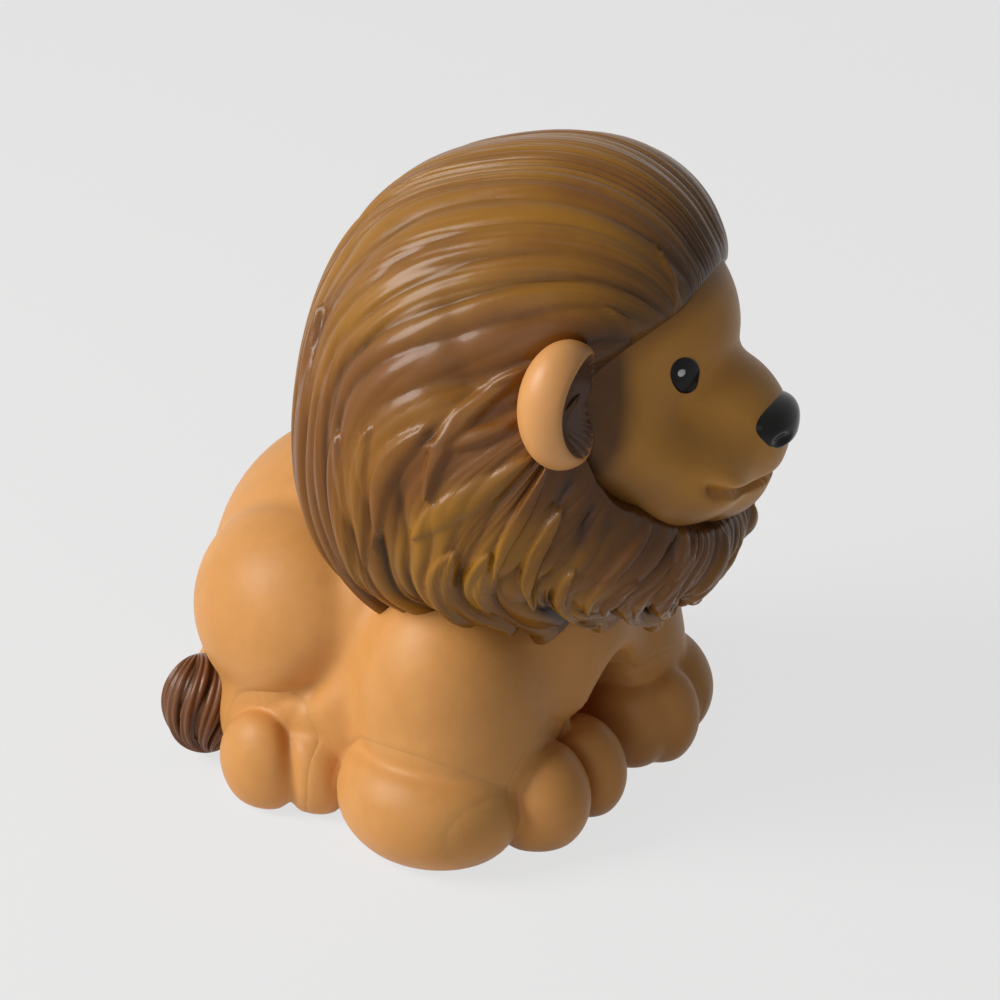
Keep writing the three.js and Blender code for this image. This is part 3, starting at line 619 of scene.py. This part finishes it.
# the comb lines' directions from the heart: cubic curves from the hairline to the rim, with two pulls between
def combLines(turn, along):
    heart = np.array(mane["heart"])
    opening, comb, hairline = mane["opening"], mane["comb"], mane["hairline"]
    angle = np.linspace(0, fullTurn, 721)
    chin = np.exp(-(np.minimum(angle, fullTurn - angle) / hairline["chinWide"]) ** 2)
    middle = np.stack([0 * angle, -hairline["section"] - hairline["chin"] * chin, 0 * angle + opening["rise"]], -1)
    radial = np.stack([np.sin(angle), 0 * angle, -np.cos(angle)], -1)
    section = reach(headForm, middle, radial, 40) - hairline["under"]
    high = np.where(np.cos(angle) < 0, *opening["high"]) - opening["sunk"]
    oval = 1 / np.sqrt((np.sin(angle) * 2 / opening["width"]) ** 2 + (np.cos(angle) / high) ** 2)
    start = middle + radial * np.minimum(section, oval)[:, None]
    forward = np.broadcast_to([0.0, -1.0, 0.0], start.shape)
    start = start + forward * np.minimum(reach(headForm, start, forward, 30), hairline["forward"])[:, None] - heart
    level = np.array([0, heart[1], mane["rim"] + mane["roll"]])
    outward = np.stack([np.sin(angle), -np.cos(angle), 0 * angle], -1)
    end = level + outward * reach(hoodForm, level, outward, 60)[:, None] - heart
    start /= np.linalg.norm(start, axis=-1, keepdims=True)
    end /= np.linalg.norm(end, axis=-1, keepdims=True)
    startTurn = turn - comb["shift"][0] * np.sin(turn) - comb["shift"][1] * np.sin(2 * turn)
    endTurn = turn - comb["shift"][2] * np.sin(turn)
    pulls = []
    for at, (side, backward, upward) in ((startTurn, comb["first"]), (endTurn, comb["second"])):
        high = (1 - np.cos(at)) / 2
        pulls.append(np.stack([np.polyval(side[::-1], high) * np.sin(at), np.polyval(backward[::-1], high),
                               np.polyval(upward[::-1], high)], -1))
    share = along[..., None]
    path = ((1 - share) ** 3 * readRound(start, startTurn) + 3 * share * (1 - share) ** 2 * pulls[0]
            + 3 * share ** 2 * (1 - share) * pulls[1] + share ** 3 * readRound(end, endTurn))
    return path / np.linalg.norm(path, axis=-1, keepdims=True)


# laid locks, each a long leaf over the combed ground: place round the mane at its root and tip, root and tip along the
# comb line, half width, height. Places run from 0 under the chin by the left side to 2 pi.
laidRight = [
    (4.29, 4.44, 0.27, 0.53, 0.034, 0.75), (4.43, 4.34, 0.30, 0.46, 0.03, 0.5), (4.60, 4.43, 0.26, 0.66, 0.05, 0.45),
    (4.74, 4.79, 0.18, 0.62, 0.034, 0.75), (4.88, 5.00, 0.24, 0.76, 0.05, 0.85), (5.29, 5.35, 0.02, 0.74, 0.038, 0.5),
    (5.53, 5.74, 0.0, 0.34, 0.05, 0.75), (4.27, 4.13, 0.0, 0.17, 0.034, 0.35), (4.37, 4.28, 0.0, 0.17, 0.034, 0.3),
    (3.97, 3.75, 0.0, 0.13, 0.03, 0.35), (4.31, 4.26, 0.43, 0.80, 0.034, 0.6), (4.60, 4.47, 0.60, 0.97, 0.05, 0.6),
    (4.73, 4.64, 0.52, 0.97, 0.045, 0.55), (4.09, 4.05, 0.66, 0.97, 0.05, 0.6), (4.20, 4.20, 0.55, 0.86, 0.034, 0.5),
    (5.14, 5.20, 0.38, 0.97, 0.05, 0.6), (5.46, 5.49, 0.30, 0.97, 0.045, 0.5), (5.66, 5.92, 0.1, 0.8, 0.06, 0.7),
    (6.02, 6.14, 0.05, 0.9, 0.06, 0.6), (3.75, 3.80, 0.62, 0.97, 0.05, 0.6),
]
# the left side mirrors those that start below the hairline
laid = laidRight + [(fullTurn - root, fullTurn - tip, *rest) for root, tip, *rest in laidRight if rest[0] > 0]


# how high the laid locks stand: a round back across each leaf, which narrows to its root and tip
def laidRelief(turn, along):
    over = np.zeros(np.broadcast_shapes(turn.shape, along.shape))
    for rootPlace, tipPlace, rootAlong, tipAlong, wide, high in laid:
        share = (along - rootAlong) / (tipAlong - rootAlong)
        inside = np.clip(share, 0, 1)
        place = rootPlace + (tipPlace - rootPlace) * inside ** 1.3
        leaf = wide * (np.clip(np.sin(np.pi * inside ** 0.8), 0, 1) ** 0.6 + 1e-6)
        away = (np.mod(turn - place + np.pi, fullTurn) - np.pi) / leaf
        over = np.maximum(over, high * np.sqrt(np.clip(1 - away ** 2, 0, 1)) * ((share > 0) & (share < 1)))
    return over


# locks, strands and hairs as repeating bumps round the mane, each wandering a little along its way. The waves' rates
# share no factor, so that no two locks are alike. Gives the relief in millimetres and the three bumps.
def combedRelief(phase, along, toRim):
    lockFacts, strandFacts, hairFacts = mane["lock"], mane["strand"], mane["hair"]
    strandPhase = (strandFacts["count"] * phase
                   + 0.5 * np.sin(fullTurn * (1.3 * along) + 2.1 * phase) * ramp(along, 0.1, 0.5))
    hairPhase = (hairFacts["count"] * phase + 0.9 * np.sin(fullTurn * (1.1 * along) + 4.3 * phase)
                 + 0.5 * np.sin(7 * along + 9 * phase))
    low = ramp(along, *mane["lowDown"])
    rimward = 1 - ramp(toRim, *mane["nearRim"])
    lock = lockBump(phase + 0.12 * np.sin(5 * along + 1.7 * phase) * low, lockFacts["sharp"])
    strand = lockBump(strandPhase, strandFacts["sharp"])
    hair = lockBump(hairPhase, hairFacts["sharp"])
    patchy = 0.5 + 0.5 * np.sin(1.7 * phase + 4 * along) * np.sin(0.9 * phase - 6 * along + 1)
    broad = 0.5 + 0.5 * np.sin(1.1 * phase + 2.2 * along + 0.6) * np.sin(0.7 * phase - 3.0 * along)
    height = (lockFacts["depth"] + lockFacts["low"] * low + lockFacts["rim"] * rimward) * (lock - 1)
    height += ((strandFacts["depth"] + strandFacts["patchy"] * patchy + strandFacts["low"] * low * (1 - rimward))
               * (strand - 1))
    height += ((hairFacts["depth"] + hairFacts["patchy"] * patchy * broad) * (hair - 1)
               * (1 - hairFacts["rim"] * rimward))
    return height, lock, strand, hair


# rows that start inside the head and run out to the hairline
def rowsInHead(hairline):
    into = np.linspace(0, 1, 3)[:, None, None]
    return np.array([0, -12.0, 42.0]) * (1 - into) + hairline * into


# rows that roll under the rim and close round the neck
def rowsUnderRim(edge, heart):
    inward = (heart - edge) * [1, 1, 0]
    inward /= np.linalg.norm(inward, axis=-1, keepdims=True)
    bend = np.linspace(0, np.pi, 8)[1:, None, None]
    roll = edge + mane["roll"] * (inward * (1 - np.cos(bend)) + np.array([0, 0, -1.0]) * np.sin(bend))
    axis = heart * [1, 1, 0]
    under = roll[-1] + inward[0] * 2.5 + np.array([0, 0, 4.0])
    closing = np.stack([under, (under + axis) / 2 * [1, 1, 0] + [0, 0, 27.0], 0 * under + axis + [0, 0, 28.0]])
    return np.concatenate([roll, closing])


# the combed skin with its relief, and the attributes that its paint reads
def maneSkin(rows, columns):
    heart = np.array(mane["heart"])
    turn = np.linspace(0, fullTurn, columns, endpoint=False)[None, :]
    along = np.linspace(0, 1, rows)[:, None]
    # the lines sway in an S only in the lower back third
    sway = 0.05 * np.sin(9.0 * along + 5 * turn) + 0.02 * np.sin(15 * along + 11 * turn)
    path = combLines(turn + ramp(-np.cos(turn), -0.3, 0.5) * ramp(along, 0.5, 0.9) * sway, along)
    onMane = reach(maneForm, heart, path, 60, True)
    steps = np.linalg.norm(np.diff(heart + path * onMane[..., None], axis=0), axis=-1)
    fromHair = np.concatenate([np.zeros((1, columns)), np.cumsum(steps, axis=0)])
    toRim = fromHair[-1:] - fromHair
    wander = 0.10 * np.sin(3 * turn + 1) + 0.06 * np.sin(5 * turn + 2) + 0.03 * np.sin(11 * turn)
    phase = mane["locks"] * (turn + wander) / fullTurn
    height, lock, strand, hair = combedRelief(phase, along, toRim)
    over = laidRelief(turn, along)
    fade = ramp(fromHair, *mane["fade"])
    height = height * (1 - mane["hidden"] * np.clip(over, 0, 1)) * fade + over * fade
    height = np.minimum(height, mane["highest"])
    grid = heart + path * (onMane + height * mane["scale"] - mane["sink"] * fade)[..., None]
    # the rim is a row of rounded lobes, some of which end higher than others
    step = 0.5 + 0.5 * np.sin(2.4 * np.floor(phase) + 1.1)
    raised = mane["scallop"] * (1 - lock) + mane["step"] * step * lock ** 0.3
    grid[..., 2] += raised * (1 - ramp(toRim, 0.0, mane["rimEdge"]))
    front = rowsInHead(heart + path[:1] * (onMane[:1, :, None] - 1.5))
    under = rowsUnderRim(grid[-1:], heart)
    # painted shade darkens the grooves and the paint within some millimetres of the hairline all round, under the jaw
    # too and most over the brow, while the laid locks stay lighter
    crestShading, shade = mane["crest"], mane["shade"]
    brow = ramp(-np.cos(turn), 0.0, 0.9)
    crest = np.clip(crestShading["level"] + height / crestShading["depth"] - crestShading["laid"] * over, 0, 1)
    crest = crest * (1 - (shade["all"] + shade["brow"] * brow) * (1 - ramp(fromHair, *shade["within"])))
    crest = np.maximum(crest, np.clip(over * crestShading["laidLeast"], 0, crestShading["laidMost"]))
    wear = 0.5 + 0.3 * np.sin(2 * turn + 5 * along + 1.5 * np.sin(3 * turn)) + 0.2 * np.sin(23 * turn + 9 * along)
    values = {"crest": crest, "wear": wear, "strand": np.clip(0.5 * strand + 0.5 * hair, 0, 1)}
    layers = {word: [np.concatenate([np.repeat(v[:1], len(front), 0), v, np.repeat(v[-1:], len(under), 0)])]
              for word, v in values.items()}
    return np.concatenate([front, grid, under]), layers


maneWhole, maneLayers = maneSkin(rows=108, columns=800)
makePiece("maneLocks", [fromHead(maneWhole)], maneBrown, "mane", maneLayers)

# ears: an egg with a dish pressed in from the front and the face's side, which leaves a C of rim round the back
ear = {"middle": (-17.5, -16.9, 47.4), "half": (4.7, 3.5, 6.0), "dish": ((2.3, -3.0, 0.0), (4.9, 3.9, 4.9)),
       "edge": 1.0, "heart": (-1.8, 1.9, 0.0), "painted": (-0.1, 0.55), "splay": np.radians(24)}


# side is 1 for the right ear and -1 for the left; gives the skin and how much of the dish's paint it has
def earGrid(side, rows, columns):
    def form(points):
        return carved(egg(points, (0, 0, 0), ear["half"]), egg(points, *ear["dish"]), ear["edge"])

    heart = np.array(ear["heart"])
    directions = ballOfDirections(rows, columns, (0, -1, 0))
    points = heart + directions * reach(form, heart, directions, 20, True)[..., None]
    dish = 1 - ramp(egg(points, *ear["dish"]), *ear["painted"])
    c, s = np.cos(ear["splay"]), np.sin(ear["splay"])
    x, y, z = points[..., 0], points[..., 1], points[..., 2]
    turned = np.stack([c * x + s * y, -s * x + c * y, z], -1) + np.array(ear["middle"])
    return turned * [side, 1, 1], dish


rightEar, rightDish = earGrid(1, rows=100, columns=170)
leftEar, leftDish = earGrid(-1, rows=100, columns=170)
makePiece("earCups", [fromHead(rightEar), fromHead(leftEar)], litEarVinyl, None,
          {"dish": [rightDish, leftDish]})


# the middle and half sizes of a CAD node in the model's millimetres
def nodePlace(node):
    low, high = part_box(node)
    low, high = np.array(low) / mm - bodyMiddle, np.array(high) / mm - bodyMiddle
    return (low + high) / 2, (high - low) / 2


# the nose: a wide egg joined to a narrower one below, with two nostril hollows pressed in
nose = {"top": ((0, 0, 0.7), (3.9, 2.4, 1.7)), "foot": ((0, 0.1, -0.9), (2.9, 2.4, 1.5)), "blend": 2.2,
        "nostril": ((-2.3, -2.3, -0.9), (0.9, 0.9, 0.7)), "nostrilEdge": 0.7, "shift": (0, 0.4, -0.45)}
noseAt = toHead(nodePlace("nose_pad")[0]) + nose["shift"]


def noseForm(points):
    whole = joined(egg(points, *nose["top"]), egg(points, *nose["foot"]), nose["blend"])
    return carved(whole, egg(mirrored(points), *nose["nostril"]), nose["nostrilEdge"])


noseWays = ballOfDirections(70, 110, (0, -1, 0))
noseSkin = noseWays * reach(noseForm, np.zeros(3), noseWays, 12)[..., None] + noseAt
makePiece("noseGloss", [fromHead(noseSkin)], glossBlack, "nose_pad")


eye = {"place": (6.7, 47.0), "half": (1.32, 1.85), "proud": 0.3, "lean": 0.22, "from": 14.0, "sunk": 0.5,
       "dotShift": (-0.62, 0.5), "dotHalf": (0.36, 0.4), "dotProud": 0.42}


# an eye or its dot: a shallow lens that follows the head's surface, standing proud by a rounded height
def lensGrid(middle, half, proud, lean, rows, columns):
    out = np.linspace(0, 1, rows)[:, None]
    spin = np.linspace(0, fullTurn, columns, endpoint=False)[None, :]
    upward = half[1] * np.sin(out * np.pi / 2) * np.sin(spin)
    x = middle[0] + half[0] * np.sin(out * np.pi / 2) * np.cos(spin) + lean * upward
    z = middle[1] + upward
    start = np.stack([x, np.full_like(x, -eye["from"]), z], -1)
    forward = np.broadcast_to([0.0, -1.0, 0.0], start.shape)
    y = -eye["from"] - reach(headForm, start, forward, 30)
    top = np.stack([x, y - proud * np.cos(out * np.pi / 2) ** 0.5, z], -1)
    low = np.stack([x, y + eye["sunk"], z], -1)[::-1]
    return np.concatenate([top, low])


for side, word in ((-1, "left"), (1, "right")):
    # the nodes are named as someone who faces the figure sees them
    at = (side * eye["place"][0], eye["place"][1])
    eyeSkin = lensGrid(at, eye["half"], eye["proud"], side * eye["lean"], rows=26, columns=64)
    makePiece("eyePrint." + word, [fromHead(eyeSkin)], eyeBlack, "eye_" + word)
    dotAt = (at[0] + eye["dotShift"][0], at[1] + eye["dotShift"][1])
    dotSkin = lensGrid(dotAt, eye["dotHalf"], eye["dotProud"], lean=0.0, rows=12, columns=40)
    makePiece("eyeDot." + word, [fromHead(dotSkin)], dotWhite, "eye_glint_" + word)

# the tuft: an egg with grooves that swirl from its root to its tip
tuft = {"shift": (0.6, -0.2, 0), "slim": (0.86, 0.9, 1.0), "axis": (0.25, 0.45, 0.86), "grooves": 9, "depth": 0.75,
        "fineDepth": 0.25, "swirl": 0.3, "ends": (0.04, 0.25, 0.85, 1.0), "shadeDepth": 0.9, "wear": 0.35}


def tuftGrid(rows, columns):
    middle, half = nodePlace("tail_tuft")
    middle, half = middle + tuft["shift"], half * tuft["slim"]
    directions = ballOfDirections(rows, columns, tuft["axis"])
    tilt = np.linspace(0, 1, rows)[:, None]
    spin = np.linspace(0, 1, columns, endpoint=False)[None, :]
    phase = tuft["grooves"] * (spin + tuft["swirl"] * tilt ** 1.5)
    fine = lockBump(3 * phase + 0.3 * np.sin(6 * tilt), 0.9)
    lock = lockBump(phase + 0.1 * np.sin(7 * tilt + 2 * phase), 0.6)
    rootFrom, rootTo, tipFrom, tipTo = tuft["ends"]
    fade = ramp(tilt, rootFrom, rootTo) * (1 - ramp(tilt, tipFrom, tipTo))
    low = (tuft["depth"] * (1 - lock) + tuft["fineDepth"] * (1 - fine)) * fade
    # painted shade: darker down in the grooves
    crest = np.clip(1 - low / tuft["shadeDepth"], 0, 1)
    layers = {"crest": [crest], "wear": [0 * crest + tuft["wear"]], "strand": [fine + 0 * crest]}
    return middle + directions * half - directions * low[..., None], layers


tuftSkin, tuftLayers = tuftGrid(rows=110, columns=240)
makePiece("tailTuftLocks", [tuftSkin], tuftBrown, "tail_tuft", tuftLayers)

# the base plug keeps its CAD shape and gets a duller vinyl with a moulded grain
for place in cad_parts["base_plug"].material_slots:
    place.material = plugVinyl
print("base plug painted")

# the lamps, the floor and the pale background, in metres
light = {
    "key": {"at": (-0.345, 0.23, 0.31), "size": 0.30, "power": 2.5, "colour": (1.0, 0.97, 0.94)},
    "fill": {"at": (-0.46, -0.16, 0.14), "size": 0.5, "power": 0.4, "colour": (0.96, 0.97, 1.0)},
    "aimAt": (0, 0, 0.03), "background": (0.83, 0.83, 0.83), "world": 0.1, "worldColour": (0.93, 0.96, 1.0),
    "floorGlow": 0.85, "floorHalf": 3, "floorRough": 0.9,
}


# a round area lamp that faces the figure
def lamp(name, facts):
    data = bpy.data.lights.new(name, "AREA")
    data.shape, data.size, data.energy, data.color = "DISK", facts["size"], facts["power"], facts["colour"]
    made = bpy.data.objects.new(name, data)
    made.location = facts["at"]
    made.rotation_euler = (Vector(light["aimAt"]) - made.location).to_track_quat("-Z", "Y").to_euler()
    bpy.context.scene.collection.objects.link(made)


lamp("keyLamp", light["key"])
lamp("fillLamp", light["fill"])


# the finish's own shader, with a share of another where the camera, a mirror or glass sees it
def seenDirectly(finish, kind, share, end):
    direct = finish.node(kind, {}, {"Color": light["background"]})
    camera, mirror, glass = (finish.node("ShaderNodeLightPath", {}, {}, word)
                             for word in ("Is Camera Ray", "Is Glossy Ray", "Is Transmission Ray"))
    seen = camera.math("MAXIMUM", mirror).math("MAXIMUM", glass)
    usual = Amount(finish, finish.shader.outputs[0])
    mixed = finish.node("ShaderNodeMixShader", {}, {0: seen * share, 1: usual, 2: direct})
    finish.join(mixed, finish.tree.nodes[end].inputs["Surface"])


world = bpy.data.worlds.new("paleStudio")
bpy.context.scene.world = world
worldFinish = Finish(world, "Background", Color=light["worldColour"], Strength=light["world"])
seenDirectly(worldFinish, "ShaderNodeBackground", 1.0, "World Output")

floorMesh = bpy.data.meshes.new("paleFloor")
half = light["floorHalf"]
floorMesh.from_pydata([(-half, -half, 0), (half, -half, 0), (half, half, 0), (-half, half, 0)], [], [(0, 1, 2, 3)])
floor = bpy.data.objects.new("paleFloor", floorMesh)
bpy.context.scene.collection.objects.link(floor)
floorFinish = Finish(bpy.data.materials.new("paleFloorPaint"), Base_Color=light["background"],
                     Roughness=light["floorRough"])
seenDirectly(floorFinish, "ShaderNodeEmission", light["floorGlow"], "Material Output")
floorMesh.materials.append(floorFinish.owner)

# the camera stands to the lion's front right, where a millimetre at the middle is ten pixels
view = {"azimuth": np.radians(-47.7), "elevation": np.radians(26), "distance": 350.0, "lens": 126.0, "sensor": 36.0,
        "near": 0.01, "bodyMiddleAt": (420, 727), "pictureMiddle": 500, "pixels": 10}
level, rise = np.cos(view["elevation"]), np.sin(view["elevation"])
right = np.array([np.cos(view["azimuth"]), np.sin(view["azimuth"]), 0])
back = np.array([right[1] * level, -right[0] * level, rise])
upward = np.cross(back, right)
shift = (np.array(view["bodyMiddleAt"]) - view["pictureMiddle"]) / view["pixels"]
eyeAt = (shift[1] * upward - shift[0] * right + bodyMiddle + back * view["distance"]) * mm
cameraData = bpy.data.cameras.new("photoCamera")
cameraData.lens, cameraData.sensor_width, cameraData.clip_start = view["lens"], view["sensor"], view["near"]
camera = bpy.data.objects.new("photoCamera", cameraData)
camera.matrix_world = Matrix(np.column_stack([right, upward, back, eyeAt]).tolist() + [[0, 0, 0, 1]])
bpy.context.scene.collection.objects.link(camera)
bpy.context.scene.camera = camera
print("lamps, floor and camera placed")

bpy.context.scene.view_settings.view_transform = "Standard"
print("scene ready")
